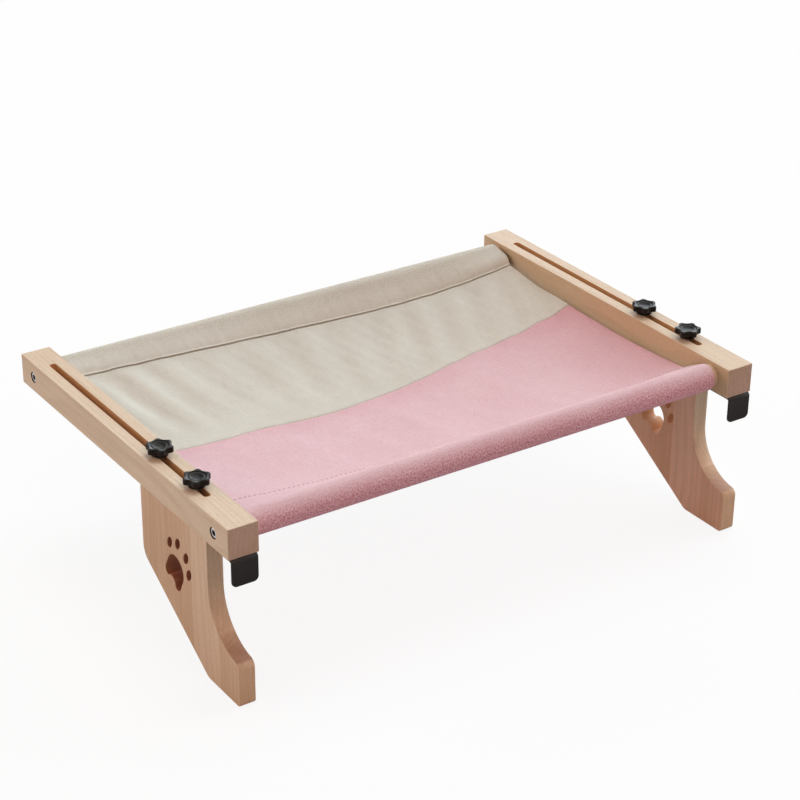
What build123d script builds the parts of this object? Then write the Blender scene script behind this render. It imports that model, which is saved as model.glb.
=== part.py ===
from build123d import *
import os
from math import acos, atan2, copysign, cos, degrees, hypot, radians, sin, tan

# Window perch for a cat: a fabric sling on two rods between two slotted wooden rails.
# The hooks under the front ends of the rails go over the far edge of a window ledge, and the
# feet of the two legs press against the wall below it. The legs slide along the slots to suit
# the depth of the ledge, and a pair of star knobs clamps each of them to its rail.
#
# Millimetres. X runs across the perch, with the left side at -X. Y runs from the hooks into
# the room, and Z is up. The origin lies midway between the hooks, on the rear faces of their
# lips and on the undersides of their flanges, where the edge of the ledge comes.

os.makedirs("parts", exist_ok=True)

sides = (("left", -1), ("right", 1))

# Clearances
fit_clearance = 0.05
overrun = 1

# Frame
overall_width = 580
rail_length = 400
rail_width = 30
rail_height = 30
rail_edge_chamfer = 0.4

# Hooks
hook_width = 26
hook_thickness = 2
hook_drop = 24.4
hook_flange = 30
hook_bend_radius = 1.5
hook_corner_radius = 5
flange_corner_radius = 3

# Rods
rod_radius = 11
rod_setback = 25

# Long hexagon nuts, of the same kind in the rods and in the legs
thread_radius = 3
nut_across_flats = 10
nut_length = 14

# Bolts of the rods
bolt_head_radius = 5
bolt_head_height = 6
bolt_recess = 2
bolt_grip = 12
bolt_hole_gap = 0.3
bolt_head_gap = 0.5
socket_across_flats = 5
socket_depth = 3

# Slots
slot_width = 7
slot_front_margin = 58.5
slot_rear_margin = 36.5

# Legs
leg_thickness = 16
leg_width = 121
leg_height = 151
foot_height = 44
foot_length = 56
foot_reach = 51
slant_angle = 31.6
foot_top_radius = 7
foot_front_radius = 4
foot_rear_radius = 12
leg_rear_radius = 18

# Cat's paw cut through each leg
paw_setback = 59.5
paw_drop = 67.3
paw_tilt = 27
pad_radius = 14.5
pad_lobe_radius = 6
pad_lobe_spread = 8.8
pad_lobe_drop = 11.4
pad_notch_radius = 7.5
pad_notch_drop = 19.5
pad_corner_radius = 2
toe_width = 7.7
toe_length = 12.5
toe_end_radius = 2.7
toe_inner_spread = 8.3
toe_inner_rise = 28.8
toe_outer_spread = 19
toe_outer_rise = 17.3

# Knobs with their studs and washers
knob_setback = 27.5
knob_spacing = 67
knob_radius = 13.2
knob_lobes = 6
lobe_radius = 3
valley_radius = 10.4
lobe_height = 6.6
hub_radius = 7.8
hub_height = 4
dish_radius = 8.4
dish_depth = 1.6
stud_in_knob = 7
stud_in_leg = 13
washer_radius = 6
washer_thickness = 1.2
washer_gap = 0.2
knob_turns = {"left_front": -4, "left_rear": 12, "right_front": 26, "right_rear": -4}

# Sling
sling_side_gap = 4
rod_gap = 0.3
cloth_thickness = 1.2
hem_reach = 32
hem_step = 0.9
sleeve_slack = 0.8
edge_hem_drop = 3
edge_sag = 10
middle_hem_drop = 9
middle_sag = 24
seam_left = 189
seam_mid_left = 194
seam_mid_right = 213
seam_right = 245
seam_quarter_share = 0.36
sling_steps = 3

# Levels and places
rail_bottom = hook_thickness
rail_top = rail_bottom + rail_height
rail_x = overall_width / 2 - rail_width / 2
rail_inner = overall_width / 2 - rail_width
rod_z = rail_bottom + rail_height / 2
rod_places = (rod_setback, rail_length - rod_setback)
slot_length = rail_length - slot_front_margin - slot_rear_margin
slot_middle = slot_front_margin + slot_length / 2
thread_bore = thread_radius + fit_clearance
bolt_seat = bolt_recess + bolt_head_height

leg_bottom = rail_bottom - leg_height
foot_top = leg_bottom + foot_height
leg_front = foot_reach
leg_rear = leg_front + leg_width
slant_rise = (leg_rear - foot_length) * tan(radians(slant_angle))
clamp_places = {
    "front": leg_front + knob_setback,
    "rear": leg_front + knob_setback + knob_spacing,
}


def outward(hand, x, y, z):
    """The plane at a point of the left or right side that faces out of the perch."""
    return Plane(origin=(hand * x, y, z), x_dir=(0, hand, 0), z_dir=(hand, 0, 0))


# Side rails, slotted for the legs' studs and bored for the rods' bolts
for side, hand in sides:
    with BuildPart() as rail:
        with BuildSketch(Plane.XY.offset(rail_bottom)):
            with Locations((hand * rail_x, rail_length / 2)):
                Rectangle(rail_width, rail_length)
        extrude(amount=rail_height)
        chamfer(rail.edges(), rail_edge_chamfer)
        with BuildSketch(Plane.XY.offset(rail_bottom - overrun)):
            with Locations((hand * rail_x, slot_middle)):
                SlotOverall(slot_length, slot_width, rotation=90)
        extrude(amount=rail_height + 2 * overrun, mode=Mode.SUBTRACT)
        for rod_y in rod_places:
            with Locations(outward(hand, overall_width / 2, rod_y, rod_z)):
                CounterBoreHole(
                    thread_radius + bolt_hole_gap, bolt_head_radius + bolt_head_gap, bolt_seat
                )
    rail.part.label = f"{side}_rail"
    export_step(rail.part, f"parts/{side}_rail.step")

# Hooks: a plate bent to an L, with its flange held flat under the rail
for side, hand in sides:
    with BuildPart() as hook:
        with BuildSketch(Plane.YZ.offset(hand * rail_x - hook_width / 2)) as hook_profile:
            with BuildLine():
                Polyline(
                    (0, 0),
                    (hook_flange, 0),
                    (hook_flange, hook_thickness),
                    (-hook_thickness, hook_thickness),
                    (-hook_thickness, -hook_drop),
                    (0, -hook_drop),
                    close=True,
                )
            make_face()
            corners = hook_profile.vertices()
            fillet(corners.sort_by_distance((0, 0))[0], hook_bend_radius)
            corners = hook_profile.vertices()
            fillet(
                corners.sort_by_distance((-hook_thickness, hook_thickness))[0],
                hook_bend_radius + hook_thickness,
            )
        extrude(amount=hook_width)
        fillet(hook.edges().filter_by(Axis.Y).group_by(Axis.Z)[0], hook_corner_radius)
        fillet(hook.edges().filter_by(Axis.Z).group_by(Axis.Y)[-1], flange_corner_radius)
    hook.part.label = f"{side}_hook"
    export_step(hook.part, f"parts/{side}_hook.step")

# Rods between the inner faces of the rails, with a six-sided pocket for a nut in both ends
for end, rod_y in zip(("front", "rear"), rod_places):
    with BuildPart() as rod:
        with BuildSketch(Plane.YZ.offset(-rail_inner)):
            with Locations((rod_y, rod_z)):
                Circle(rod_radius)
        extrude(amount=2 * rail_inner)
        for side, hand in sides:
            with BuildSketch(outward(hand, rail_inner, rod_y, rod_z)):
                RegularPolygon(nut_across_flats / 2, 6, major_radius=False)
            extrude(amount=-nut_length, mode=Mode.SUBTRACT)
    rod.part.label = f"{end}_rod"
    export_step(rod.part, f"parts/{end}_rod.step")

# Nuts in the ends of the rods
with BuildPart() as rod_nuts:
    for side, hand in sides:
        for rod_y in rod_places:
            with BuildSketch(outward(hand, rail_inner, rod_y, rod_z)):
                RegularPolygon(nut_across_flats / 2, 6, major_radius=False)
                Circle(thread_bore, mode=Mode.SUBTRACT)
            extrude(amount=-nut_length)
rod_nuts.part.label = "rod_nuts"
export_step(rod_nuts.part, "parts/rod_nuts.step")

# Bolts that hold the rods, with hexagon sockets in sunk heads
with BuildPart() as bolt:
    with BuildSketch(Plane.XY.offset(-bolt_head_height)):
        Circle(bolt_head_radius)
    extrude(amount=bolt_head_height)
    with BuildSketch(Plane.XY.offset(-socket_depth)):
        RegularPolygon(socket_across_flats / 2, 6, major_radius=False)
    extrude(amount=socket_depth, mode=Mode.SUBTRACT)
    with BuildSketch(Plane.XY.offset(-bolt_head_height)):
        Circle(thread_radius)
    extrude(amount=-(rail_width - bolt_seat + bolt_grip))

with BuildPart() as rod_bolts:
    for side, hand in sides:
        for rod_y in rod_places:
            with Locations(outward(hand, overall_width / 2 - bolt_recess, rod_y, rod_z)):
                add(bolt.part)
rod_bolts.part.label = "rod_bolts"
export_step(rod_bolts.part, "parts/rod_bolts.step")


def round_rod(rod_y, radius, angle, lowering=0):
    """The point of a circle round a rod at an angle, in degrees, with the circle lowered."""
    return (rod_y + radius * cos(radians(angle)), rod_z - lowering + radius * sin(radians(angle)))


def tangent_angle(rod_y, radius, tip, turn, lowering=0):
    """Where the straight wall of a sleeve, from its tip, meets the circle round the rod."""
    across, up = tip[0] - rod_y, tip[1] - rod_z + lowering
    return (degrees(atan2(up, across)) + turn * degrees(acos(radius / hypot(across, up)))) % 360


def sleeve(rod_y, inward, radius, upper_tip, lower_tip):
    """The outside of a sleeve: over the rod, down its far side and back below, with some slack."""
    over = tangent_angle(rod_y, radius, upper_tip, inward)
    far_side = 90 + inward * 90
    under = tangent_angle(rod_y, radius, lower_tip, -inward, sleeve_slack) + (inward - 1) * 180
    Line(upper_tip, round_rod(rod_y, radius, over))
    ThreePointArc(
        round_rod(rod_y, radius, over),
        round_rod(rod_y, radius, (over + far_side) / 2),
        round_rod(rod_y, radius, far_side),
    )
    Line(round_rod(rod_y, radius, far_side), round_rod(rod_y, radius, far_side, sleeve_slack))
    ThreePointArc(
        round_rod(rod_y, radius, far_side, sleeve_slack),
        round_rod(rod_y, radius, (far_side + under) / 2, sleeve_slack),
        round_rod(rod_y, radius, under, sleeve_slack),
    )
    Line(round_rod(rod_y, radius, under, sleeve_slack), lower_tip)


def sling_section(x, hem_drop, sag):
    """The sling's outline at one place across its width: sleeve, hanging sheet, sleeve."""
    front, rear = rod_places
    half = cloth_thickness / 2
    radius = rod_radius + rod_gap + cloth_thickness
    hem_z = rod_z - hem_drop
    front_upper = (front + hem_reach, hem_z + half)
    front_lower = (front + hem_reach, hem_z - half)
    rear_upper = (rear - hem_reach, hem_z + half)
    rear_lower = (rear - hem_reach, hem_z - half)
    rear_lip = (rear - hem_reach, hem_z + half + hem_step)
    middle = ((front + rear) / 2, rod_z - sag)
    with BuildSketch(Plane.YZ.offset(x)) as section:
        with BuildLine():
            sleeve(front, 1, radius, front_upper, front_lower)
            ThreePointArc(front_lower, (middle[0], middle[1] - half), rear_lower)
            sleeve(rear, -1, radius, rear_lip, rear_lower)
            Line(rear_lip, rear_upper)
            ThreePointArc(rear_upper, (middle[0], middle[1] + half), front_upper)
        make_face()
    return section.sketch.face()


# The sling before it is parted: it hangs deeper along its middle than at its hemmed edges, in
# a parabola with steps of equal depth, and its sleeves are bored for the rods
sling_half = rail_inner - sling_side_gap
sling_sections = []
for step in range(-sling_steps, sling_steps + 1):
    rise = abs(step) / sling_steps
    x = copysign(sling_half * rise**0.5, step)
    hem_drop = middle_hem_drop + (edge_hem_drop - middle_hem_drop) * rise
    sag = middle_sag + (edge_sag - middle_sag) * rise
    sling_sections.append(sling_section(x, hem_drop, sag))
with BuildPart() as sling:
    loft(sling_sections, ruled=True)
    with BuildSketch(Plane.YZ.offset(-sling_half)):
        with Locations(*[(rod_y, rod_z) for rod_y in rod_places]):
            Circle(rod_radius + rod_gap)
    extrude(amount=2 * sling_half, mode=Mode.SUBTRACT)

# The ground in front of the curved seam where the two cloths of the sling join
seam_quarter = seam_quarter_share * 2 * sling_half
with BuildSketch(Plane.XY.offset(rod_z - middle_sag - rod_radius)) as front_ground:
    with BuildLine():
        Spline(
            (-sling_half - overrun, seam_left),
            (-sling_half + seam_quarter, seam_mid_left),
            (sling_half - seam_quarter, seam_mid_right),
            (sling_half + overrun, seam_right),
        )
        Polyline(
            (sling_half + overrun, seam_right),
            (sling_half + overrun, -rod_radius),
            (-sling_half - overrun, -rod_radius),
            (-sling_half - overrun, seam_left),
        )
    make_face()

# Front panel with the front sleeve
with BuildPart() as pink_panel:
    add(sling.part)
    extrude(front_ground.sketch, amount=middle_sag + 3 * rod_radius, mode=Mode.INTERSECT)
pink_panel.part.label = "pink_panel"
export_step(pink_panel.part, "parts/pink_panel.step")

# Rear panel with the rear sleeve, hemmed over on top
with BuildPart() as cream_panel:
    add(sling.part)
    extrude(front_ground.sketch, amount=middle_sag + 3 * rod_radius, mode=Mode.SUBTRACT)
cream_panel.part.label = "cream_panel"
export_step(cream_panel.part, "parts/cream_panel.step")

# A toe of the paw: an oval of two flat arcs that meet in rounded ends
toe_flat = (toe_length / 2 - toe_end_radius) ** 2 + (toe_width / 2) ** 2 - toe_end_radius**2
toe_side_radius = toe_flat / (toe_width - 2 * toe_end_radius)
toe_shift = toe_side_radius - toe_width / 2
with BuildSketch() as toe:
    with Locations((toe_shift, 0)):
        Circle(toe_side_radius)
    with Locations((-toe_shift, 0)):
        Circle(toe_side_radius, mode=Mode.INTERSECT)
    fillet(toe.vertices(), toe_end_radius)

# Legs: boards cut to a hooked foot in front and a slant behind, with a cat's paw through each
for side, hand in sides:
    leg_plane = Plane.YZ.offset(hand * rail_x - leg_thickness / 2)
    with BuildPart() as leg:
        with BuildSketch(leg_plane) as leg_profile:
            with BuildLine():
                Line((leg_front, rail_bottom), (leg_front, foot_top + foot_reach))
                CenterArc((0, foot_top + foot_reach), foot_reach, 0, -90)
                Polyline(
                    (0, foot_top),
                    (0, leg_bottom),
                    (foot_length, leg_bottom),
                    (leg_rear, leg_bottom + slant_rise),
                    (leg_rear, rail_bottom),
                    (leg_front, rail_bottom),
                )
            make_face()
            for corner, radius in (
                ((0, foot_top), foot_top_radius),
                ((0, leg_bottom), foot_front_radius),
                ((foot_length, leg_bottom), foot_rear_radius),
                ((leg_rear, leg_bottom + slant_rise), leg_rear_radius),
            ):
                fillet(leg_profile.vertices().sort_by_distance(corner)[0], radius)
        extrude(amount=leg_thickness)
        tilt = radians(paw_tilt)
        paw_plane = Plane(
            origin=(
                hand * rail_x - leg_thickness / 2,
                leg_front + paw_setback,
                rail_bottom - paw_drop,
            ),
            x_dir=(0, cos(tilt), sin(tilt)),
            z_dir=(1, 0, 0),
        )
        with BuildSketch(paw_plane) as paw:
            Circle(pad_radius)
            with Locations((-pad_lobe_spread, -pad_lobe_drop), (pad_lobe_spread, -pad_lobe_drop)):
                Circle(pad_lobe_radius)
            make_hull()
            with Locations((0, -pad_notch_drop)):
                Circle(pad_notch_radius, mode=Mode.SUBTRACT)
            corner, facing_corner, *_ = paw.vertices().sort_by_distance((0, -pad_notch_drop))
            fillet((corner, facing_corner), pad_corner_radius)
            for spread, rise in (
                (toe_inner_spread, toe_inner_rise),
                (toe_outer_spread, toe_outer_rise),
            ):
                with Locations((-spread, rise), (spread, rise)):
                    add(toe.sketch)
        extrude(amount=leg_thickness, mode=Mode.SUBTRACT)
        for clamp_y in clamp_places.values():
            with BuildSketch(Plane(origin=(hand * rail_x, clamp_y, rail_bottom))):
                RegularPolygon(nut_across_flats / 2, 6, major_radius=False)
            extrude(amount=-nut_length, mode=Mode.SUBTRACT)
    leg.part.label = f"{side}_leg"
    export_step(leg.part, f"parts/{side}_leg.step")

    with BuildPart() as leg_nuts:
        for clamp_y in clamp_places.values():
            with BuildSketch(Plane(origin=(hand * rail_x, clamp_y, rail_bottom))):
                RegularPolygon(nut_across_flats / 2, 6, major_radius=False)
                Circle(thread_bore, mode=Mode.SUBTRACT)
            extrude(amount=-nut_length)
    leg_nuts.part.label = f"{side}_leg_nuts"
    export_step(leg_nuts.part, f"parts/{side}_leg_nuts.step")

# The outline of a knob: round lobes, with hollows between them that run into them smoothly
half_pitch = 180 / knob_lobes
lobe_place = knob_radius - lobe_radius
facing_place = lobe_place * cos(radians(half_pitch))
valley_gap = lobe_place**2 + valley_radius**2 - 2 * facing_place * valley_radius - lobe_radius**2
hollow_radius = valley_gap / (2 * (lobe_radius + facing_place - valley_radius))
hollow_place = valley_radius + hollow_radius
lobe_sweep = degrees(
    atan2(
        hollow_place * sin(radians(half_pitch)),
        hollow_place * cos(radians(half_pitch)) - lobe_place,
    )
)
with BuildSketch() as star:
    with BuildLine():
        for lobe in range(knob_lobes):
            bearing = 2 * half_pitch * lobe
            lobe_centre = Vector(lobe_place, 0).rotate(Axis.Z, bearing)
            hollow_centre = Vector(hollow_place, 0).rotate(Axis.Z, bearing + half_pitch)
            CenterArc(lobe_centre, lobe_radius, bearing - lobe_sweep, 2 * lobe_sweep)
            hollow_sweep = 2 * (half_pitch - lobe_sweep)
            CenterArc(hollow_centre, hollow_radius, bearing + lobe_sweep + 180, hollow_sweep)
    make_face()

# Clamps: a washer on the rail, and a star knob moulded on a stud that reaches into the leg
for side, hand in sides:
    for end, clamp_y in clamp_places.items():
        name = f"{side}_{end}"
        turn = radians(knob_turns[name])
        rail_face = Plane(
            origin=(hand * rail_x, clamp_y, rail_top), x_dir=(cos(turn), sin(turn), 0)
        )
        knob_seat = rail_face.offset(washer_thickness)

        with BuildPart() as washer:
            with BuildSketch(rail_face):
                Circle(washer_radius)
                Circle(thread_radius + washer_gap, mode=Mode.SUBTRACT)
            extrude(amount=washer_thickness)
        washer.part.label = f"{name}_washer"
        export_step(washer.part, f"parts/{name}_washer.step")

        with BuildPart() as stud:
            with BuildSketch(knob_seat.offset(stud_in_knob)):
                Circle(thread_radius)
            extrude(amount=-(stud_in_knob + washer_thickness + rail_height + stud_in_leg))
        stud.part.label = f"{name}_stud"
        export_step(stud.part, f"parts/{name}_stud.step")

        with BuildPart() as knob:
            with BuildSketch(knob_seat):
                Circle(hub_radius)
            extrude(amount=hub_height)
            with BuildSketch(knob_seat.offset(hub_height)):
                add(star.sketch)
            extrude(amount=lobe_height)
            with Locations(knob_seat.offset(hub_height + lobe_height)):
                Hole(dish_radius, dish_depth)
            with Locations(Plane(origin=knob_seat.origin, z_dir=(0, 0, -1))):
                Hole(thread_radius + fit_clearance, stud_in_knob)
        knob.part.label = f"{name}_knob"
        export_step(knob.part, f"parts/{name}_knob.step")
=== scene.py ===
from collections import namedtuple
from math import acos, atan2, copysign, cos, hypot, pi, radians, sin

import bpy
import numpy as np
from mathutils import Matrix, Vector


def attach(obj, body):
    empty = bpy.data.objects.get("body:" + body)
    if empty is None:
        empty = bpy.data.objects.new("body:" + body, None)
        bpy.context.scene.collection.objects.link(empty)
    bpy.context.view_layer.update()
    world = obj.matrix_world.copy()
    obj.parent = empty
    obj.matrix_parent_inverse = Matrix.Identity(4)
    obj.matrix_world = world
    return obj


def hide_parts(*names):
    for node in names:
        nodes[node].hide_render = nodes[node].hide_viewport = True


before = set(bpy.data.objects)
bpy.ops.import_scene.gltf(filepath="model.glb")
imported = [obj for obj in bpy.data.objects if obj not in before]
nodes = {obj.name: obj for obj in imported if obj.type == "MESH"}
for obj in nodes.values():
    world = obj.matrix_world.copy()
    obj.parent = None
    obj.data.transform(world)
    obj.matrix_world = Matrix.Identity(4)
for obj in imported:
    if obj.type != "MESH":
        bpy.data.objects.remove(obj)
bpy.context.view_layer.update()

# Lengths are in millimetres up to the point where a mesh is made of them, and the places are
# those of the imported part: X across the perch, Y from the hooks into the room, Z up.
MM = 0.001
SIDES = (("left", -1), ("right", 1))

# Frame
RAIL_X = 275
RAIL_OUTER = 290
ROD_PLACES = {"front": 25, "rear": 375}
ROD_Z = 17
CLAMP_PLACES = {"front": 78.5, "rear": 145.5}
HOOK_SCREW_Y, HOOK_SCREW_APART = 17, 7
FLOOR_Z = -149.2

# Sling
SLING_LEFT, SLING_RIGHT = -258.8, 256.6
SLING_WIDTH = SLING_RIGHT - SLING_LEFT
CLOTH = 1.1
LAYER_GAP = 1.25
SLEEVE_RADIUS = 12.5
SLEEVE_SLACK = 0.4

# A panel's sleeve: the place of its rod, the way from there into the sling, its stitch line, and
# whether it goes over the rod first. Then how far its hem laps past the stitches and rises there,
# how far its walls bulge, how much more at the right end, and how strong its cross folds are.
Sleeve = namedtuple("Sleeve", "rod_y inward stitch over_first lap rise puff right_puff folds")
FRONT = Sleeve(ROD_PLACES["front"], 1, 57, True, 4, 0, 0.1, 0.4, 0.4)
REAR = Sleeve(ROD_PLACES["rear"], -1, 346.5, False, 2.4, 0.1, 1.1, 2.4, 1)
LEFT_PUFF = 0.6
LEFT_END, RIGHT_END = (-250, -180), (150, 250)
# The bulge's curve t(1 - t)^2 is 4/27 at its highest, and this brings it to one
FULL_BULGE = 6.75

# How far the sling's right edge is drawn in: by the front rod, behind it, and at the seam
ROD_DRAW, EDGE_WAIST, SEAM_DRAW = 1.8, 0.6, 1.5
WAIST_GROWS, WAIST_FADES = (40, 80), (325, 362)
SEAM_DRAW_Y, SEAM_DRAW_WIDTH = 238, 35

# The tension waves of the cream cloth: their pitch, the first one's place and the row of the
# cloth where they are counted. They lean, and the lean turns from one end to the other.
CREASE_PITCH, CREASE_FIRST, CREASE_ROW = 41, -228, 240
LEAN, LEAN_TURN, LEAN_MIDDLE, LEAN_WIDTH, LEAN_DEPTH = 10, 22, -40, 80, 75
CREASE_HEIGHT, LEFT_CREASES, RIGHT_CREASES = 0.9, 0.75, 0.65
LEFT_CREASES_END, RIGHT_CREASES_X, RIGHT_CREASES_WIDTH = (-205, -150), 190, 42
CREASES_GROW, CREASES_FADE, CREASES_LOST = (188, 275), (326, 345), 0.82

# Sums of waves along X: the height, length and phase of each
FRONT_WAVES = ((0.6, 118, 1.6), (0.25, 61, 1.0), (0.1, 29, 0.2))
FINE_WAVES = ((0.1, 17.3, 0),)
PUCKERS = ((0.1, 11.3, 0.0), (0.08, 7.7, 1.3), (0.1, 23.0, 2.2))
SLEEVE_FOLDS = ((0.22, 27, 0.4), (0.14, 16, 1.9))

# The curl of the sling's edges: height, reach in from the edge, and its middle and width along Y
LEFT_CURL, RIGHT_CURL = (-2.6, 8, 205, 70), (0.8, 9, 215, 60)

# The cloth's edge, folded down into the seam: points as distances from the seam and below its top
SEAM_FOLD = ((0.58, 3.2), (0.57, 2.0), (0.6, 1.0), (0.78, 0.4), (1.25, 0.1))
SEAM_HALF, SEAM_SWELL, SWELL_REACH = 3, 0.35, 6

# How finely the cloths are divided
COLUMNS, SHEET_ROWS, WALL_STEPS, RING_ROWS, HEM_STEPS = 205, 60, 10, 13, 3

# A sleeve's gathers and folds, placed by rows after the sheet
FIRST_PUCKER, PUCKER_REACH = 6, 5
FOLDS_MIDDLE, FOLDS_WIDTH = 14, 9
FOLDS_GROW, FEWEST_FOLDS = (110, 220), 0.25
# The gathers on its way back, by rows before the end: their middle and where they stop. Then
# their shift along X and their share of the others' height.
LAST_PUCKER, PUCKER_STOP = 8, 4
LAST_SHIFT, LAST_SHARE = 17, 0.8
# The rows over which painted shade comes in round the rod, after the sheet, and goes, before the
# end
ROLL_SHADE_STARTS, ROLL_SHADE_ENDS = (12.5, 22), (14, 6)


def cubic(knots):
    """A natural cubic spline through pairs of place and value, as a function of place."""
    at, value = np.array(knots, float).T
    step = np.diff(at)
    count = len(at)
    system = np.eye(count)
    right = np.zeros(count)
    for i in range(1, count - 1):
        system[i, i - 1 : i + 2] = step[i - 1], 2 * (step[i - 1] + step[i]), step[i]
        slopes = (value[i + 1] - value[i]) / step[i], (value[i] - value[i - 1]) / step[i - 1]
        right[i] = 6 * (slopes[0] - slopes[1])
    bend = np.linalg.solve(system, right)

    def evaluate(x):
        i = np.clip(np.searchsorted(at, x) - 1, 0, count - 2)
        a, b, h = at[i + 1] - x, x - at[i], step[i]
        curve = (bend[i] * a**3 + bend[i + 1] * b**3) / (6 * h)
        ends = (value[i] / h - bend[i] * h / 6) * a + (value[i + 1] / h - bend[i + 1] * h / 6) * b
        return curve + ends

    return evaluate


# Lines across the sling, through pairs of X and: the seam's Y, the height of each hem, the sag
seam_line = cubic([
    (-262, 179), (-212, 180.5), (-170, 185.5), (-120, 189.5), (-65, 191), (-30, 195), (15, 203),
    (60, 212.5), (105, 223), (150, 228), (200, 232.5), (262, 239.5),
])
front_hem = cubic([
    (-262, 21), (-225, 18.5), (-185, 15.5), (-120, 11), (0, 8), (120, 8.5), (200, 10.6),
    (256, 13.2),
])
rear_hem = cubic([
    (-262, 20.5), (-182, 17.7), (-69, 12.4), (20, 8.7), (105, 6.5), (175, 8.5), (225, 13),
    (256, 17),
])
sag_depth = cubic([(-262, 7), (-150, 12), (0, 15), (150, 12), (256, 5.6)])


def waves(x, parts):
    """A sum of sines along x."""
    return sum(high * np.sin(2 * pi * x / length + phase) for high, length, phase in parts)


def bump(x, middle, width):
    return np.exp(-(((x - middle) / width) ** 2))


def ease(x, low, high):
    """A smooth rise from 0 at low to 1 at high."""
    t = np.clip((x - low) / (high - low), 0, 1)
    return t * t * (3 - 2 * t)


def curl(inward, y, height, reach, middle, width):
    return height * np.exp(-inward / reach) * bump(y, middle, width)


def creases(x, y):
    """How far the cloth is lifted by its waves and its curled edges.

    The tension waves of the cream cloth fan out from the seam to the rear hem."""
    lean = LEAN + LEAN_TURN * np.tanh((x - LEAN_MIDDLE) / LEAN_WIDTH)
    count = (x - lean * (y - CREASE_ROW) / LEAN_DEPTH - CREASE_FIRST) / CREASE_PITCH
    uneven = 1 + 0.3 * np.sin(1.7 * count + 0.5) + 0.2 * np.sin(y / 33 + 2.3 * count)
    strength = CREASE_HEIGHT + LEFT_CREASES * (1 - ease(x, *LEFT_CREASES_END))
    strength = strength + RIGHT_CREASES * bump(x, RIGHT_CREASES_X, RIGHT_CREASES_WIDTH)
    strength = strength * ease(y, *CREASES_GROW) * (1 - CREASES_LOST * ease(y, *CREASES_FADE))
    rear = -strength * uneven * np.sin(2 * pi * count)
    fine = waves(x + 0.3 * y, FINE_WAVES) * ease(y, 200, 250)
    front = waves(x + 0.15 * y, FRONT_WAVES) * (1 - ease(y, 165, 230))
    edges = curl(x - SLING_LEFT, y, *LEFT_CURL) + curl(SLING_RIGHT - x, y, *RIGHT_CURL)
    return rear + fine + front + edges


def sheet_height(x, y):
    """The middle of the cloth's thickness, between the stitch lines of the two sleeves."""
    along = (y - FRONT.stitch) / (REAR.stitch - FRONT.stitch)
    hems = front_hem(x) * (1 - along) + rear_hem(x) * along
    return hems - 4 * along * (1 - along) * sag_depth(x) + creases(x, y)


def placed(x, y):
    """Where x comes to lie: the sheet is drawn in a little along its right edge."""
    waist = ROD_DRAW + EDGE_WAIST * ease(y, *WAIST_GROWS)
    waist = waist + SEAM_DRAW * bump(y, SEAM_DRAW_Y, SEAM_DRAW_WIDTH)
    waist = waist * (1 - ease(y, *WAIST_FADES))
    return x - waist * ((x - SLING_LEFT) / SLING_WIDTH) ** 4


def rod_angle(rod_y, tip, turn, lowering):
    """The angle round a rod, in radians, where a straight wall from tip touches its sleeve."""
    across, up = tip[0] - rod_y, tip[1] - ROD_Z + lowering
    return (atan2(up, across) + turn * acos(SLEEVE_RADIUS / hypot(across, up))) % (2 * pi)


def wall(stitch, rod_end, puff):
    """A sleeve's wall between its stitch and the rod. It bulges by puff, most near the stitch."""
    way = rod_end - stitch
    out = np.array([-way[1], way[0]]) / hypot(*way)
    out = out * copysign(1, out[1])
    places = np.linspace(0, 1, WALL_STEPS + 1)[1:-1]
    return [stitch + way * t + out * puff * FULL_BULGE * t * (1 - t) ** 2 for t in places]


def sleeve_path(x, sleeve, hem_z):
    """The line of a sleeve from its stitch round the rod and back, and on to the hem's end.

    Each point is (y, z)."""
    puff = sleeve.puff + sleeve.right_puff * ease(x, *RIGHT_END)
    puff = puff + LEFT_PUFF * (1 - ease(x, *LEFT_END))
    above = np.array([sleeve.stitch, hem_z + (0 if sleeve.over_first else LAYER_GAP)])
    below = np.array([sleeve.stitch, hem_z - (LAYER_GAP if sleeve.over_first else 0)])
    over = rod_angle(sleeve.rod_y, above, sleeve.inward, 0)
    under = rod_angle(sleeve.rod_y, below, -sleeve.inward, SLEEVE_SLACK)
    if sleeve.inward < 0 and under > pi:
        under -= 2 * pi
    far = pi / 2 + sleeve.inward * pi / 2
    upper = [(a, 0) for a in np.linspace(over, far, RING_ROWS)]
    lower = [(a, SLEEVE_SLACK) for a in np.linspace(far, under, RING_ROWS)]
    ring = [
        np.array([sleeve.rod_y + SLEEVE_RADIUS * cos(a), ROD_Z - low + SLEEVE_RADIUS * sin(a)])
        for a, low in upper + lower
    ]
    first, last, rises = above, below, (puff, -puff / 2)
    if not sleeve.over_first:
        ring.reverse()
        first, last, rises = below, above, (-puff / 2, puff)
    lap = np.array([sleeve.inward * sleeve.lap, sleeve.rise])
    hem = [last + lap * t for t in np.linspace(0, 1, HEM_STEPS + 1)]
    return wall(first, ring[0], rises[0]) + ring + wall(last, ring[-1], rises[1])[::-1] + hem


def panel_path(x, sleeve):
    """A panel's line at one place across the sling, from the seam to the end of the hem."""
    seam = float(seam_line(x))
    top = float(sheet_height(x, seam))
    toward = -sleeve.inward
    fold = [np.array([seam + toward * out, top - down]) for out, down in SEAM_FOLD]
    places = np.linspace(seam + toward * SEAM_HALF, sleeve.stitch, SHEET_ROWS)
    swell = SEAM_SWELL * np.exp(-np.abs(places - seam) / SWELL_REACH)
    sheet = np.stack([places, sheet_height(x, places) + swell], 1)
    hem_z = float(sheet_height(x, sleeve.stitch))
    return np.array(fold + list(sheet) + sleeve_path(x, sleeve, hem_z))


def pucker(x, row, stitch_row):
    """Small gathers of a sleeve's walls next to the line that stitches them."""
    return np.exp(-np.abs(row - stitch_row) / PUCKER_REACH) * waves(x, PUCKERS)


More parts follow.
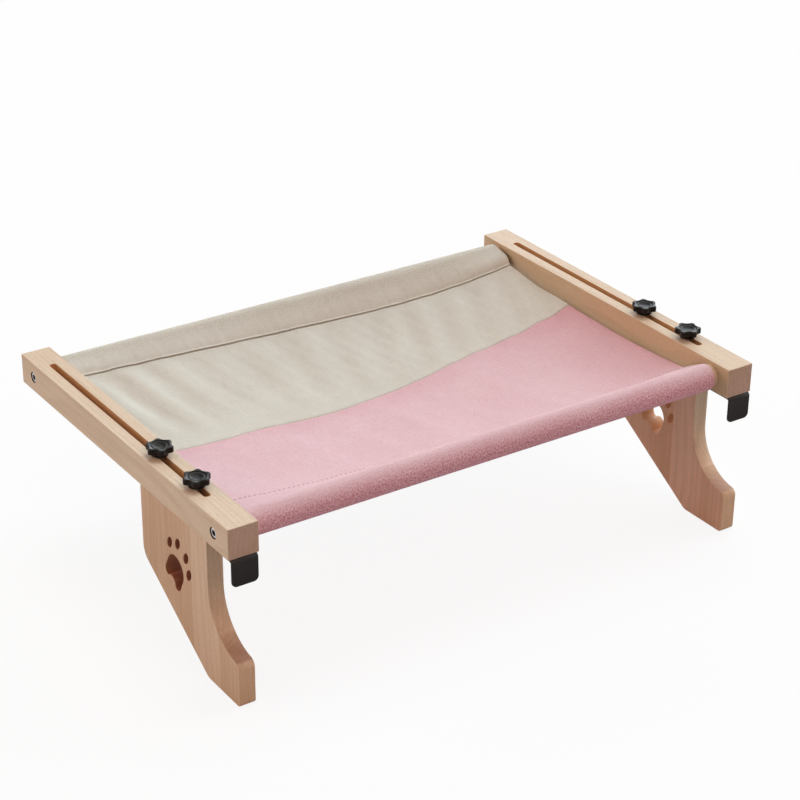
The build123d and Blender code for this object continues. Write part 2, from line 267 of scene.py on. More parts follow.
def mesh_object(name, points, faces, material, smooth=True):
    """A mesh of points in millimetres."""
    mesh = bpy.data.meshes.new(name)
    mesh.from_pydata([tuple(p * MM) for p in np.asarray(points, float)], [], faces)
    mesh.polygons.foreach_set("use_smooth", [smooth] * len(mesh.polygons))
    mesh.materials.append(material)
    mesh.update()
    made = bpy.data.objects.new(name, mesh)
    bpy.context.scene.collection.objects.link(made)
    return made


def grid_faces(rows, columns, around=False):
    """The quads of a grid of points, row by row. Around joins the last column to the first."""
    faces = []
    for r in range(rows - 1):
        here, above = r * columns, (r + 1) * columns
        for c in range(columns if around else columns - 1):
            n = (c + 1) % columns
            faces.append((here + c, here + n, above + n, above + c))
    return faces


def modify(made, kind, **settings):
    modifier = made.modifiers.new(kind.lower(), kind)
    for key, value in settings.items():
        setattr(modifier, key, value)


# Materials. Lengths in them are in metres, and scales are per metre.


def rgb(text):
    """A colour written as in a paint program, in the renderer's own linear numbers."""
    parts = [int(text[i : i + 2], 16) / 255 for i in (0, 2, 4)]
    return tuple(p / 12.92 if p <= 0.04045 else ((p + 0.055) / 1.055) ** 2.4 for p in parts) + (1,)


class Nodes:
    """The nodes of a material or of the world. A value is a number, a colour or a socket."""

    def __init__(self, tree):
        self.tree = tree

    def put(self, socket, value):
        if isinstance(value, bpy.types.NodeSocket):
            self.tree.links.new(value, socket)
        else:
            socket.default_value = value

    def node(self, kind, *values, out=0, **settings):
        made = self.tree.nodes.new("ShaderNode" + kind)
        for key, value in settings.items():
            setattr(made, key, value)
        for place, value in enumerate(values):
            if value is not None:
                self.put(made.inputs[place], value)
        return made.outputs[out]

    def sum(self, kind, *values):
        return self.node("Math", *values, operation=kind)

    def times(self, a, b):
        return self.sum("MULTIPLY", a, b)

    def plus(self, a, b):
        return self.sum("ADD", a, b)

    def minus(self, a, b):
        return self.sum("SUBTRACT", a, b)

    def size(self, a):
        return self.sum("ABSOLUTE", a)

    def span(self, value, low, high, bottom=0, top=1):
        """Value taken from low..high to bottom..top, and held there."""
        return self.node("MapRange", value, low, high, bottom, top)

    def within(self, value, limit, fade):
        """One below the limit, and nothing above it and its fade."""
        return self.span(value, limit + fade, limit)

    def axis(self, letter, of="Object"):
        """One coordinate of the place on the piece, or of its normal."""
        return self.node("SeparateXYZ", self.node("TexCoord", out=of), out=letter)

    def place(self, scale=(1, 1, 1), shift=(0, 0, 0), source=None):
        if source is None:
            source = self.node("TexCoord", out="Object")
        return self.node("Mapping", source, shift, (0, 0, 0), scale)

    def noise(self, where, scale=1, detail=2, roughness=0.5, distortion=0):
        made = self.tree.nodes.new("ShaderNodeTexNoise")
        for key, value in (
            ("Vector", where), ("Scale", scale), ("Detail", detail),
            ("Roughness", roughness), ("Distortion", distortion),
        ):
            self.put(made.inputs[key], value)
        return made.outputs[0]

    def mix(self, share, a, b, kind="MIX"):
        made = self.tree.nodes.new("ShaderNodeMix")
        made.data_type = "RGBA"
        made.blend_type = kind
        for place, value in ((0, share), (6, a), (7, b)):
            self.put(made.inputs[place], value)
        return made.outputs[2]

    def mark(self, colour, where, mark, kind="MIX"):
        """Colour with a mark on it, which is a tone and how much of it shows at most."""
        tone, most = mark
        return self.mix(self.times(where, most), colour, rgb(tone), kind)

    def seen(self):
        """One for the camera, also through glass, and nothing for the light on the object."""
        kinds = ("Is Camera Ray", "Is Transmission Ray")
        return self.sum("MAXIMUM", *(self.node("LightPath", out=kind) for kind in kinds))


class Look(Nodes):
    """A material with the shader's own settings."""

    def __init__(self, name, **shader):
        self.material = bpy.data.materials.new(name)
        self.material.use_nodes = True
        super().__init__(self.material.node_tree)
        self.shader = self.tree.nodes["Principled BSDF"]
        for key, value in shader.items():
            self.put(self.shader.inputs[key.replace("_", " ")], value)

    def raise_by(self, height, distance, strength=1):
        """Height as a bump, in metres at its full value."""
        made = self.tree.nodes.new("ShaderNodeBump")
        for key, value in (("Height", height), ("Distance", distance), ("Strength", strength)):
            self.put(made.inputs[key], value)
        self.put(self.shader.inputs["Normal"], made.outputs[0])

    def colour(self, value):
        self.put(self.shader.inputs["Base Color"], value)

    def rough(self, value):
        self.put(self.shader.inputs["Roughness"], value)


# Places that a material tells apart, with the width over which each fades
SLOT_MIDDLE, SLOT_HALF_LENGTH, SLOT_END_FADE = 0.211, 0.1525, 0.0005
SLOT_HALF_WIDTH, SLOT_SIDE_FADE = 0.0036, 0.0002
PAW_MIDDLE, PAW_RADIUS, PAW_FADE = (0, 0.1105, -0.0653), 0.0395, 0.001
RECESS_RADIUS, RECESS_FADE = 0.0058, 0.0003
SOCKET_RADIUS, SOCKET_FADE = 0.0027, 0.0002
# A face is a wall along X where the X of its normal is under this, with its fade
WALL_NORMAL = (0.4, 0.2)

# Beech: which axes run across the grain, and the scales of its patterns across and along it
GRAIN = {"x": (0, 1, 1), "y": (1, 0, 1), "z": (1, 1, 0)}
WANDER, FIBRE, STREAK, CLOUD, PORES = (9, 2.2), (1150, 26), (190, 7), (22, 3.5), (1700, 240)
RINGS_PER_METRE, RING_WANDER = 210, 0.05
STAVE_WIDTH, STAVE_SHIFT, STAVE_CONTRAST = 0.047, 0.013, 0.55
STAVE_TONES = ("FFFFFF", "DCC5AC")
LATE_WOOD, STREAK_MARK, FIBRE_MARK = ("AE8A64", 0.16), ("BA9876", 0.26), ("C0A282", 0.26)
# Marks of the wood; the last one paints shade into the walls of the bolts' recesses
PORE_MARK, END_GRAIN, RECESS_SHADE = ("8E6B4E", 0.26), ("CFBABF", 0.75), ("3B2A20", 1)
BURN_AND_SHADE_SHARE = 0.9

# Cloth: the width of a yarn, and the scales of its slubs across and along them
YARN = 0.0011
SLUB_FINE, SLUB_LONG, BLOTCH = 1500, 60, 14

# Metal: the scales of its brushing across and along, and of its patches
BRUSH_FINE, BRUSH_LONG, PATCH = 1800, 60, 240
# The second is painted shade for the bolts' sockets
PATCH_TONE, SOCKET_SHADE = "9AA3AD", ("141517", 1)
PALE_EDGE_TONE = "5A5A5C"


def bolt_distance(look):
    """The distance from the axis of the nearest bolt of the rods."""
    front, rear = ROD_PLACES.values()
    off_centre = look.size(look.minus(look.axis("Y"), (front + rear) / 2 * MM))
    along = look.minus(off_centre, (rear - front) / 2 * MM)
    spot = look.node("CombineXYZ", along, look.minus(look.axis("Z"), ROD_Z * MM))
    return look.node("VectorMath", spot, operation="LENGTH", out="Value")


def slot_wall(look):
    """One on the walls of a rail's slot, which the cutter has browned, and nothing elsewhere."""
    across = look.size(look.minus(look.size(look.axis("X")), RAIL_X * MM))
    along = look.size(look.minus(look.axis("Y"), SLOT_MIDDLE))
    inside = look.within(along, SLOT_HALF_LENGTH, SLOT_END_FADE)
    return look.times(look.within(across, SLOT_HALF_WIDTH, SLOT_SIDE_FADE), inside)


def paw_wall(look):
    """One on the walls of a leg's paw, where shade is painted, and nothing elsewhere."""
    at = look.node("TexCoord", out="Object")
    flat = look.node("VectorMath", at, (0, 1, 1), operation="MULTIPLY")
    away = look.node("VectorMath", flat, PAW_MIDDLE, operation="DISTANCE", out="Value")
    is_wall = look.within(look.size(look.axis("X", "Normal")), *WALL_NORMAL)
    return look.times(is_wall, look.within(away, PAW_RADIUS, PAW_FADE))


def wood_look(name, along, shift, tones, sides=None, staves=False, cut=None, burn_and_shade=""):
    """Pale beech. Along is the axis of its grain, and shift its place in the tree.

    Tones are its pale and its tan wood, and sides the same on the faces toward -X, which paint
    shade and bounce light in there. Cut says where the cutter browned it and where shade is
    painted, and burn gives the tone of that."""
    look = Look(name, Specular_IOR_Level=0.35)
    where = look.place(shift=shift)
    if staves:
        # each stave has its own tone and its own place in the tree
        stave = look.sum("DIVIDE", look.plus(look.axis("Y"), STAVE_SHIFT), STAVE_WIDTH)
        chance = look.node(
            "TexWhiteNoise", None, look.sum("FLOOR", stave), noise_dimensions="1D",
        )
        offset = look.node("CombineXYZ", 0.0, look.times(chance, 0.9), chance)
        where = look.node("VectorMath", where, offset, operation="ADD")

    def pattern(scales, *settings):
        across, lengthwise = scales
        scale = [across if c else lengthwise for c in GRAIN[along]]
        return look.noise(look.place(scale, source=where), 1, *settings)

    radius = look.node(
        "VectorMath", look.place(GRAIN[along], source=where), operation="LENGTH", out="Value",
    )
    wander = look.times(look.minus(pattern(WANDER, 2), 0.5), RING_WANDER)
    rings = look.sum("FRACT", look.times(look.plus(radius, wander), RINGS_PER_METRE))
    late = look.times(look.span(rings, 0.45, 0.95), look.span(rings, 1.0, 0.95))
    fibre = pattern(FIBRE, 3, 0.6)
    streak = pattern(STREAK, 3, 0.55)
    pores = look.span(pattern(PORES, 1), 0.6, 0.7)

    pale, tan = (rgb(tone) for tone in tones)
    if sides:
        # painted shade and bounce light on the faces toward -X
        share = look.span(look.axis("X", "Normal"), -0.5, -0.8)
        pale, tan = (look.mix(share, a, rgb(b)) for a, b in zip((pale, tan), sides))
    colour = look.mix(look.span(pattern(CLOUD, 2), 0.3, 0.7, 0.1, 0.6), pale, tan)
    colour = look.mark(colour, late, LATE_WOOD)
    colour = look.mark(colour, look.span(streak, 0.42, 0.75), STREAK_MARK)
    colour = look.mark(colour, look.span(fibre, 0.35, 0.7), FIBRE_MARK)
    colour = look.mark(colour, pores, PORE_MARK)
    if staves:
        of_stave = look.mix(chance, *(rgb(tone) for tone in STAVE_TONES))
        colour = look.mix(STAVE_CONTRAST, colour, of_stave, "MULTIPLY")
    # end grain drinks in more of the light
    end = look.span(look.size(look.axis(along.upper(), "Normal")), 0.75, 0.95)
    colour = look.mark(colour, end, END_GRAIN, "MULTIPLY")
    # the cutter's browning in the slots, and painted shade on the walls of the paws
    if cut:
        colour = look.mark(colour, cut(look), (burn_and_shade, BURN_AND_SHADE_SHARE))
    if along == "y":
        # painted shade darkens the walls of the bolts' recesses
        is_wall = look.within(look.size(look.axis("X", "Normal")), *WALL_NORMAL)
        near = look.within(bolt_distance(look), RECESS_RADIUS, RECESS_FADE)
        colour = look.mark(colour, look.times(is_wall, near), RECESS_SHADE)
    look.colour(colour)
    look.rough(look.span(fibre, 0.2, 0.8, 0.5, 0.66))
    height = look.plus(look.times(fibre, 0.6), look.times(pores, -0.7))
    look.raise_by(height, 0.00012, 0.55)
    return look.material


def cloth_look(name, base, light, dark, roll_shade_tones, fleck, contrast, relief, sheen, seam_and_end_tones=()):
    """A woven cloth. Its yarns follow the flat cut, which each of its pieces carries.

    Ground gives painted shade on the roll round the rod, where the cloth is bent. Nap gives
    deeper tones by the seam and at the right end."""
    look = Look(name, Specular_IOR_Level=0.12, Sheen_Weight=sheen, Sheen_Roughness=0.55)
    flat = look.node("Attribute", out="Vector", attribute_name="flat_cut")
    across, down = (look.node("SeparateXYZ", flat, out=k) for k in "XY")
    warp, weft = (look.sum("SINE", look.times(way, 2 * pi / YARN)) for way in (across, down))
    weave = look.times(warp, weft)
    slub = look.plus(
        look.noise(look.place((SLUB_LONG, SLUB_FINE, 1), source=flat), 1, 2),
        look.noise(look.place((SLUB_FINE, SLUB_LONG, 1), source=flat), 1, 2),
    )
    speckle = look.noise(look.place(source=flat), fleck, 3, 0.65)
    blotch = look.noise(look.place(source=flat), BLOTCH, 3, 0.5)
    # painted shade: round the rod, where the roll is in shade, the cloth is deeper and darker
    bend = look.node("Attribute", out="Fac", attribute_name="bend")
    grain = look.span(bend, 0, 1, contrast, contrast * 2.2)
    colour = look.mix(look.span(blotch, 0.3, 0.7), rgb(base), rgb(light))
    colour = look.mark(colour, look.span(slub, 0.8, 1.25), (dark, 0.4))
    colour = look.mark(colour, look.span(speckle, 0.5, 0.68), (dark, grain))
    colour = look.mark(colour, look.span(speckle, 0.48, 0.34), (light, grain))
    colour = look.mark(colour, look.span(weave, 1, -1), (dark, 0.16))
    deep = look.mix(look.span(speckle, 0.42, 0.58), *(rgb(tone) for tone in roll_shade_tones))
    colour = look.mix(bend, colour, deep, "MULTIPLY")
    # deeper tones by the seam and at the right end
    if seam_and_end_tones:
        uneven = look.times(look.minus(blotch, 0.5), 0.03)
        by_seam = look.span(look.plus(down, uneven), 0.002, 0.036, 1, 0)
        at_end = look.span(look.plus(across, uneven), 0.155, 0.24)
        at_end = look.times(at_end, look.span(down, 0.165, 0.19, 1, 0))
        for share, tone in zip((by_seam, at_end), seam_and_end_tones):
            colour = look.mix(share, colour, rgb(tone), "MULTIPLY")
    look.colour(colour)
    look.rough(look.span(speckle, 0.2, 0.8, 0.82, 0.95))
    height = look.plus(look.times(weave, 0.35), look.times(speckle, 0.9))
    look.raise_by(look.plus(height, look.times(slub, 0.5)), relief, 0.8)
    return look.material


def metal_look(name, base, metal, roughness, along, socket=False):
    """Bright zinc plate, brushed a little along one axis. Socket paints shade into the bolts'
    sockets.
    """
    look = Look(name, Metallic=metal)
    scale = [BRUSH_LONG if axis == along else BRUSH_FINE for axis in "xyz"]
    brush = look.noise(look.place(scale), 1, 2)
    patch = look.noise(look.place(), PATCH, 2)
    colour = look.mix(look.span(patch, 0.35, 0.7, 0, 0.5), rgb(base), rgb(PATCH_TONE))
    if socket:
        # painted shade deep in the sockets
        inside = look.within(bolt_distance(look), SOCKET_RADIUS, SOCKET_FADE)
        colour = look.mark(colour, inside, SOCKET_SHADE)
    look.colour(colour)
    look.rough(look.span(brush, 0.3, 0.7, roughness, roughness + 0.14))
    look.raise_by(brush, 0.00003, 0.5)
    return look.material


def black_look(name, base, worn, roughness, grain, relief, gloss):
    """Black plastic or powder coat: a fine grain, and paler on its sharp edges."""
    look = Look(name, Specular_IOR_Level=gloss, Specular_Tint=(1, 0.9, 0.82, 1))
    fine = look.noise(look.place(), grain, 3, 0.6)
    cloud = look.noise(look.place(), 90, 2)
    edge = look.span(look.node("NewGeometry", out="Pointiness"), 0.52, 0.6)
    colour = look.mix(look.span(cloud, 0.3, 0.75), rgb(base), rgb(worn))
    # sharp edges painted paler
    colour = look.mark(colour, edge, (PALE_EDGE_TONE, 0.6))
    look.colour(colour)
    look.rough(look.span(fine, 0.3, 0.7, roughness - 0.05, roughness + 0.08))
    look.raise_by(fine, relief, 0.5)
    return look.material


def thread_look(name, base, dark):
    """Sewing thread: two plies, twisted."""
    look = Look(name, Specular_IOR_Level=0.3, Sheen_Weight=0.2)
    ply = look.noise(look.place((900, 900, 900)), 1.4, 2, distortion=1.0)
    look.colour(look.mix(look.span(ply, 0.3, 0.7), rgb(base), rgb(dark)))
    look.rough(look.span(ply, 0.3, 0.7, 0.6, 0.8))
    look.raise_by(ply, 0.0001, 0.6)
    return look.material


BEECH = ("E2D0B9", "D2B999")
# Tones of the faces toward -X, with painted shade and bounce light in them
PAINTED_RAIL_SIDES = {"left": ("E2D2BB", "D2BA9B"), "right": ("D9C3A3", "CAAC85")}
LEG_BEECH = ("EED3B8", "DEBD98")
PAINTED_LEG_SIDES = {"left": ("EAD5BF", "DABF9F"), "right": ("F2CBB6", "E4B596")}
ROD_BEECH = ("DFC9AC", "CFB18E")
SLOT_BURN = "D0A070"
# Painted shade on the walls of the paws: deep on the left leg, light on the right one, where they
# are lit
PAW_SHADE = {"left": "9A5E44", "right": "DDA880"}

rod_wood = wood_look("beech_dowel", "x", (0.4, 0.02, 0.035), ROD_BEECH)
zinc_x = metal_look("zinc_bolts", "F6F9FC", 0.3, 0.34, "x", socket=True)
zinc_z = metal_look("zinc_studs", "C4C9CF", 1.0, 0.26, "z")
powder = black_look(
    "black_powder_coat", "0A0909", "121111", roughness=0.46, grain=2600, relief=0.00008,
    gloss=0.25,
)
plastic = black_look(
    "black_plastic", "0A0807", "130F0C", roughness=0.38, grain=1100, relief=0.00028, gloss=0.21,
)
cream = cloth_look(
    "cream_canvas", base="DDD9CC", light="E4E2D6", dark="BBB5A7", roll_shade_tones=("FFFFFF", "F6F5F2"),
    fleck=900, contrast=0.45, relief=0.0004, sheen=0.05,
)
pink = cloth_look(
    "pink_canvas", base="F7D6DA", light="FCE0E3", dark="E2A5B0", roll_shade_tones=("FFF0F5", "E6B8C6"),
    fleck=560, contrast=0.42, relief=0.0008, sheen=0.1, seam_and_end_tones=("FBF3F5", "F8EAEC"),
)
# Its dark tone also paints the shadow line in the rear hem's ditch
cream_thread_and_shadow = thread_look("cream_thread_and_shadow", "A2977F", "8A7E66")
pink_thread = thread_look("pink_thread", "C2687A", "A35265")


def dress(name, material):
    """Gives a CAD node its material."""
    materials = nodes[name].data.materials
    materials.clear()
    materials.append(material)


for side, hand in SIDES:
    dress(f"{side}_rail", wood_look(
        f"beech_{side}_rail", "y", (hand * 0.31 + 0.07, 0.2, 0.043), BEECH, PAINTED_RAIL_SIDES[side],
        cut=slot_wall, burn_and_shade=SLOT_BURN,
    ))
    dress(f"{side}_leg", wood_look(
        f"beech_{side}_leg", "z", (hand * 0.2 + 0.05, 0.08, 0.5), LEG_BEECH, PAINTED_LEG_SIDES[side],
        staves=True, cut=paw_wall, burn_and_shade=PAW_SHADE[side],
    ))
    dress(f"{side}_leg_nuts", zinc_z)
    dress(f"{side}_hook", powder)
    for end in CLAMP_PLACES:
        dress(f"{side}_{end}_washer", zinc_z)
        dress(f"{side}_{end}_stud", zinc_z)
for name, material in (
    ("front_rod", rod_wood), ("rear_rod", rod_wood), ("rod_nuts", zinc_x), ("rod_bolts", zinc_x),
):
    dress(name, material)

# The edges of the legs are eased by sanding, and those of the hooks by the press
EASED = {"leg": 0.6, "hook": 0.35}
SHARP_EDGE = radians(40)
for side, _ in SIDES:
    for part, width in EASED.items():
        node = nodes[f"{side}_{part}"]
        modify(node, "WELD", merge_threshold=1e-6)
        modify(node, "DECIMATE", decimate_type="DISSOLVE", angle_limit=radians(1))
        modify(
            node, "BEVEL", width=width * MM, segments=2, limit_method="ANGLE",
            angle_limit=SHARP_EDGE, use_clamp_overlap=False,
        )

# Sling


def panel(name, sleeve, material, node):
    """One cloth of the sling, with the length and the area of its flat cut."""
    columns = np.linspace(SLING_LEFT, SLING_RIGHT, COLUMNS)
    paths = [panel_path(x, sleeve) for x in columns]
    rows = len(paths[0])
    row = np.arange(rows)
    wall_row = len(SEAM_FOLD) + SHEET_ROWS
    fold_rows = bump(row, wall_row + FOLDS_MIDDLE, FOLDS_WIDTH) * sleeve.folds
    # the rows of the roll, where shade is painted into the cloth
    opens, closes = [wall_row + r for r in ROLL_SHADE_STARTS], [rows - r for r in ROLL_SHADE_ENDS]
    shaded_rows = ease(row, *opens) * (1 - ease(row, *closes))
    points = np.zeros((rows, COLUMNS, 3))
    cut = np.zeros((rows, COLUMNS, 3))
    for c, (x, path) in enumerate(zip(columns, paths)):
        steps = np.hypot(*np.diff(path, axis=0).T)
        length = np.concatenate([[0], np.cumsum(steps)])
        way = np.gradient(path, axis=0)
        normal = np.stack([-way[:, 1], way[:, 0]], 1)
        normal /= np.linalg.norm(normal, axis=1)[:, None]
        first = pucker(x, row, wall_row + FIRST_PUCKER) * (row > wall_row)
        last = pucker(x + LAST_SHIFT, row, rows - LAST_PUCKER) * (row < rows - PUCKER_STOP)
        folds = waves(x, SLEEVE_FOLDS) * (FEWEST_FOLDS + ease(x, *FOLDS_GROW)) * fold_rows
        gather = first + last * LAST_SHARE + folds
        points[:, c, 0] = placed(x, path[:, 0])
        points[:, c, 1:] = path + normal * gather[:, None]
        cut[:, c, 0] = x * MM
        cut[:, c, 1] = length * MM
    made = mesh_object(name, points.reshape(-1, 3), grid_faces(rows, COLUMNS), material)
    flat = made.data.attributes.new("flat_cut", "FLOAT_VECTOR", "POINT")
    flat.data.foreach_set("vector", cut.reshape(-1).astype(np.float32))
    bend = made.data.attributes.new("bend", "FLOAT", "POINT")
    bend.data.foreach_set("value", np.repeat(shaded_rows, COLUMNS).astype(np.float32))
    modify(made, "SOLIDIFY", thickness=CLOTH * MM, offset=0, use_even_offset=False)
    modify(made, "SUBSURF", levels=1, render_levels=1)
    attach(made, "frame")
    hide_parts(node)
    lengths = cut[-1, :, 1]
    area = (np.diff(columns * MM) * (lengths[1:] + lengths[:-1]) / 2).sum()
    return made, float(lengths.max()), float(area)


pink_panel, pink_length, pink_area = panel("pink_cloth", FRONT, pink, "pink_panel")
cream_panel, cream_length, cream_area = panel(
    "cream_cloth", REAR, cream, "cream_panel",
)

# A stitch: rings at parts of its length, each with its width as a share of the thread's radius
STITCH_RINGS = ((-0.5, 0.35), (-0.32, 0.95), (0, 1.1), (0.32, 0.95), (0.5, 0.35))
STITCH_SIDES = 6
STITCH_MARGIN = 4


def stitches(name, y, lift, material, pitch=4.9, length=3.1, radius=0.46):
    """A row of stitches across the sling at y, lifted from the middle of the cloth."""

    def on_cloth(x):
        return np.array([placed(x, y), y, float(sheet_height(x, y)) + lift])

    turns = [2 * pi * k / STITCH_SIDES for k in range(STITCH_SIDES)]
    quads = grid_faces(len(STITCH_RINGS), STITCH_SIDES, True)
    points, faces = [], []
    for x in np.arange(SLING_LEFT + STITCH_MARGIN, SLING_RIGHT - STITCH_MARGIN, pitch):
        start, end = (on_cloth(x + part * length) for part in (-0.5, 0.5))
        way = (end - start) / np.linalg.norm(end - start)
        out = np.cross(way, (0, 0, 1.0))
        out /= np.linalg.norm(out)
        up = np.cross(out, way)
        first = len(points)
        for part, width in STITCH_RINGS:
            middle = (start + end) / 2 + way * part * length
            points += [middle + (out * cos(a) + up * sin(a)) * width * radius for a in turns]
        last = len(points) - STITCH_SIDES
        faces += [tuple(first + i for i in quad) for quad in quads]
        faces.append(tuple(range(first + STITCH_SIDES - 1, first - 1, -1)))
        faces.append(tuple(range(last, last + STITCH_SIDES)))
    made = mesh_object(name, points, faces, material)
    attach(made, "frame")
    return made


FACE = CLOTH / 2
THREAD_LIFT = FACE + 0.05
# The rear stitches of the top run in the ditch just before the end of the hem. Their dark thread
# paints the hem's shadow line there.
DITCH_Y = REAR.stitch - REAR.lap - 0.35
front_top = stitches("front_stitches", FRONT.stitch, THREAD_LIFT, pink_thread)
front_below = stitches(
    "front_stitches_below", FRONT.stitch, -LAYER_GAP - THREAD_LIFT, pink_thread,
)
rear_shadow_stitches = stitches(
    "rear_stitches", DITCH_Y, FACE, cream_thread_and_shadow, 2.9, 2.75, 0.27,
)
rear_below = stitches(
    "rear_stitches_below", REAR.stitch, -THREAD_LIFT, cream_thread_and_shadow,
)

# Knobs. Their outline is six lobes, with a round hollow between each two that touches both.
KNOB_SEAT = 33.2
KNOB_RADIUS = 12.9
LOBES = 6
LOBE_RADIUS = 3
VALLEY_RADIUS = 10.2
LOBE_POINTS, HOLLOW_POINTS = 10, 8
KNOB_TURNS = {"left_front": -4, "left_rear": 12, "right_front": 26, "right_rear": -4}
lobe_place = KNOB_RADIUS - LOBE_RADIUS
facing = lobe_place * cos(pi / LOBES)
hollow_radius = (
    lobe_place**2 + VALLEY_RADIUS**2 - 2 * facing * VALLEY_RADIUS - LOBE_RADIUS**2
) / (2 * (LOBE_RADIUS + facing - VALLEY_RADIUS))
hollow_place = VALLEY_RADIUS + hollow_radius
lobe_sweep = atan2(
    hollow_place * sin(pi / LOBES), hollow_place * cos(pi / LOBES) - lobe_place,
)


def toward(angle):
    return np.array([cos(angle), sin(angle)])


def star(inset):
    """The knob's outline, moved in by some way all round."""
    hollow_sweep = lobe_sweep - pi / LOBES
    points = []
    for lobe in range(LOBES):
        bearing = 2 * pi * lobe / LOBES
        centre = toward(bearing) * lobe_place
        for a in np.linspace(-lobe_sweep, lobe_sweep, LOBE_POINTS + 1)[:-1]:
            points.append(centre + (LOBE_RADIUS - inset) * toward(bearing + a))
        bearing += pi / LOBES
        centre = toward(bearing) * hollow_place
        for a in np.linspace(hollow_sweep, -hollow_sweep, HOLLOW_POINTS + 1)[:-1]:
            points.append(centre + (hollow_radius + inset) * toward(bearing + pi + a))
    return np.array(points)


def knob_rings():
    """Rings of the knob from its seat up to the middle of its dish, as points (x, y, z)."""
    outline = star(0)
    circle = outline / np.linalg.norm(outline, axis=1)[:, None]
    profile = [
        (circle * 6.9, 0), (circle * 7.5, 0.02), (circle * 7.8, 0.35), (circle * 7.8, 3.4),
        (circle * 8.1, 3.85), (circle * 8.8, 4.0), (star(1.3), 4.02), (star(0.6), 4.05),
        (star(0.18), 4.22), (star(0.02), 4.7), (star(0), 5.6), (star(0), 8.2),
        (star(0.03), 8.9), (star(0.2), 9.4), (star(0.55), 9.7), (star(0.95), 9.8),
        (circle * 9.05, 9.72), (circle * 8.75, 9.5), (circle * 8.4, 9.1), (circle * 7.6, 8.7),
        (circle * 6.9, 8.75), (circle * 6.5, 9.0), (circle * 6.1, 9.0), (circle * 5.6, 8.5),
        (circle * 4.6, 8.0), (circle * 2.8, 7.7), (circle * 1.2, 7.6),
    ]
    return [np.column_stack([ring, np.full(len(ring), z)]) for ring, z in profile]


def knob(name, x, y, turn):
    rings = knob_rings()
    around = len(rings[0])
    c, s = cos(radians(turn)), sin(radians(turn))
    turned = np.concatenate(rings) @ np.array([[c, s, 0], [-s, c, 0], [0, 0, 1]])
    faces = grid_faces(len(rings), around, True)
    last = (len(rings) - 1) * around
    faces.append(tuple(range(last, last + around)))
    made = mesh_object(name + "_moulding", turned + np.array([x, y, KNOB_SEAT]), faces, plastic)
    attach(made, name)
    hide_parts(name)


for side, hand in SIDES:
    for end, y in CLAMP_PLACES.items():
        knob(f"{side}_{end}_knob", hand * RAIL_X, y, KNOB_TURNS[f"{side}_{end}"])

# Bolts of the rods. Depths are from the rail's outer face, and a crown is let into the bolt's
# own face. The crown's rings are pairs of radius and depth, and the socket's pairs of how far it
# is widened and depth.
AROUND = 48
TURNS = [2 * pi * k / AROUND for k in range(AROUND)]
BOLT_FACE = 2
CROWN_FOOT = BOLT_FACE + 0.2
CROWN = (
    (4.9, CROWN_FOOT), (4.95, 1.5), (4.85, 1.15), (4.5, 0.85), (4.0, 0.7), (3.5, 0.62),
    (3.15, 0.62),
)
SOCKET_CORNER = 2.887
SOCKET = ((0.12, 0.66), (0, 0.85), (0, CROWN_FOOT))


def bolt_crown(name, hand, y):
    """The domed rim of a sunk bolt head, round its hexagon socket, which stays open."""

    def point(radius, angle, deep):
        return hand * (RAIL_OUTER - deep), y + radius * cos(angle), ROD_Z + radius * sin(angle)

    rings = [[point(radius, a, deep) for a in TURNS] for radius, deep in CROWN]
    for grown, deep in SOCKET:
        from_flat = [pi / 6 - abs((a + pi / 6) % (pi / 3) - pi / 6) for a in TURNS]
        radii = [(SOCKET_CORNER + grown) * cos(pi / 6) / cos(off) for off in from_flat]
        rings.append([point(radius, a, deep) for radius, a in zip(radii, TURNS)])
    faces = grid_faces(len(rings), AROUND, True)
    if hand > 0:
        faces = [tuple(reversed(f)) for f in faces]
    made = mesh_object(name, np.concatenate(rings), faces, zinc_x)
    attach(made, "frame")


for side, hand in SIDES:
    for end, y in ROD_PLACES.items():
        bolt_crown(f"{side}_{end}_bolt_crown", hand, y)

# Screws of the hooks, countersunk from below. Their rings are pairs of radius and height.
HEAD = ((3.6, 0.2), (3.55, -0.04), (3.3, -0.12))
CROSS_HEIGHTS = (-0.12, 0.2)
CROSS_ARM, CROSS_HALF_WIDTH = 1.75, 0.42


def screw(name, x, y):
    """The flush head of a cross-head screw, seen from below, with its recess left open."""
    rings = [[(r * cos(a), r * sin(a), z) for a in TURNS] for r, z in HEAD]
    cross = []
    for a in TURNS:
        off = abs((a + pi / 4) % (pi / 2) - pi / 4)
        arm = min(CROSS_ARM / cos(off), CROSS_HALF_WIDTH / max(sin(off), 0.01))
        cross.append((arm * cos(a), arm * sin(a)))
    rings += [[(u, v, z) for u, v in cross] for z in CROSS_HEIGHTS]
    faces = [tuple(reversed(f)) for f in grid_faces(len(rings), AROUND, True)]
    points = np.concatenate(rings) + np.array([x, y, 0])
    made = mesh_object(name, points, faces, zinc_z, smooth=False)
    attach(made, "frame")


for side, hand in SIDES:
    for index, x in enumerate((RAIL_X - HOOK_SCREW_APART, RAIL_X + HOOK_SCREW_APART)):
        screw(f"{side}_hook_screw_{index + 1}", hand * x, HOOK_SCREW_Y)

# Floor, light and camera
FLOOR_REACH = 40000
FLOOR_GLOW = 0.88
WORLD_IN_GLOSS = 0.38
WHITE = (1, 1, 1, 1)

floor_look = Look("floor", Roughness=0.9, Specular_IOR_Level=0.1)
paper = floor_look.noise(floor_look.place(), 60, 3)
seen = floor_look.seen()
grey = floor_look.mix(paper, rgb("C8C8C8"), rgb("CECECE"))
floor_look.colour(floor_look.mix(seen, grey, rgb("F4F4F4")))
glow = floor_look.node("Emission", WHITE, 1.0)
glowing = floor_look.times(seen, FLOOR_GLOW)
from_above = floor_look.node("MixShader", glowing, floor_look.shader.outputs[0], glow)
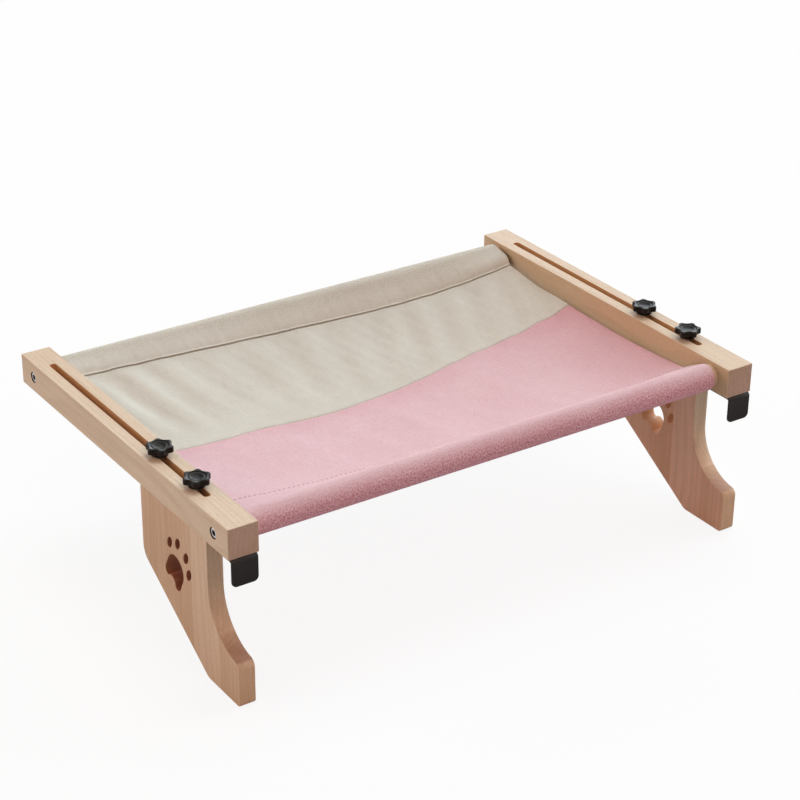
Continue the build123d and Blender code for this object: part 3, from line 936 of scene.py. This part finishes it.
# from below the floor is open, so that the underside can be looked at
is_below = floor_look.node("NewGeometry", out="Backfacing")
surface = floor_look.node(
    "MixShader", is_below, from_above, floor_look.node("BsdfTransparent"),
)
floor_look.put(floor_look.tree.nodes["Material Output"].inputs["Surface"], surface)
corners = [
    (x * FLOOR_REACH, y * FLOOR_REACH, FLOOR_Z) for x, y in ((-1, -1), (1, -1), (1, 1), (-1, 1))
]
mesh_object("floor", corners, [(0, 1, 2, 3)], floor_look.material, smooth=False)

world = bpy.data.worlds.new("studio")
bpy.context.scene.world = world
world.use_nodes = True
sky = Nodes(world.node_tree)
background = sky.tree.nodes["Background"]
mirrored = sky.node("LightPath", out="Is Glossy Ray")
sky.put(background.inputs["Color"], WHITE)
sky.put(
    background.inputs["Strength"], sky.sum("MULTIPLY_ADD", mirrored, WORLD_IN_GLOSS, sky.seen()),
)

LAMP_ANGLE = radians(40)
COOL, WARM, AMBER = (0.875, 0.985, 1.05), (1.04, 0.82, 0.72), (1.2, 0.79, 0.63)
# Each lamp's azimuth in degrees from +X towards +Y, its elevation, strength and colour
LAMPS = (
    ("window_low", 0, 12, 1.05, COOL),
    ("window_back", 45, 12, 1.47, COOL),
    ("window_high", 0, 42, 0.78, COOL),
    ("ceiling", 45, 70, 1.22, COOL),
    ("wall_back", 135, 12, 1.45, WARM),
    ("wall_left", 180, 42, 0.45, WARM),
    ("wall_front", 270, 42, 0.82, AMBER),
)


def lamp(name, azimuth, elevation, strength, colour):
    """A wide soft light from a direction."""
    data = bpy.data.lights.new(name, "SUN")
    data.angle = LAMP_ANGLE
    data.energy = strength
    data.color = colour
    made = bpy.data.objects.new(name, data)
    a, e = radians(azimuth), radians(elevation)
    direction = Vector((cos(e) * cos(a), cos(e) * sin(a), sin(e)))
    made.rotation_euler = direction.to_track_quat("Z", "Y").to_euler()
    bpy.context.scene.collection.objects.link(made)


for settings in LAMPS:
    lamp(*settings)

CAMERA_AT = (-1.036663, -1.362215, 0.943675)
AZIMUTH, ELEVATION, ROLL = radians(-33.981), radians(27.025), radians(0.470)
LENS, SENSOR = 97.378, 36
back = Vector((sin(AZIMUTH) * cos(ELEVATION), -cos(AZIMUTH) * cos(ELEVATION), sin(ELEVATION)))
level = Vector((cos(AZIMUTH), sin(AZIMUTH), 0))
above = back.cross(level)
rightward = cos(ROLL) * level + sin(ROLL) * above
upward = -sin(ROLL) * level + cos(ROLL) * above
turn = Matrix((rightward, upward, back)).transposed().to_4x4()
camera = bpy.data.objects.new("camera", bpy.data.cameras.new("camera"))
bpy.context.scene.collection.objects.link(camera)
camera.matrix_world = Matrix.Translation(CAMERA_AT) @ turn
camera.data.lens = LENS
camera.data.sensor_width = SENSOR
camera.data.clip_start, camera.data.clip_end = 0.05, 100
bpy.context.scene.camera = camera
bpy.context.scene.view_settings.view_transform = "Standard"
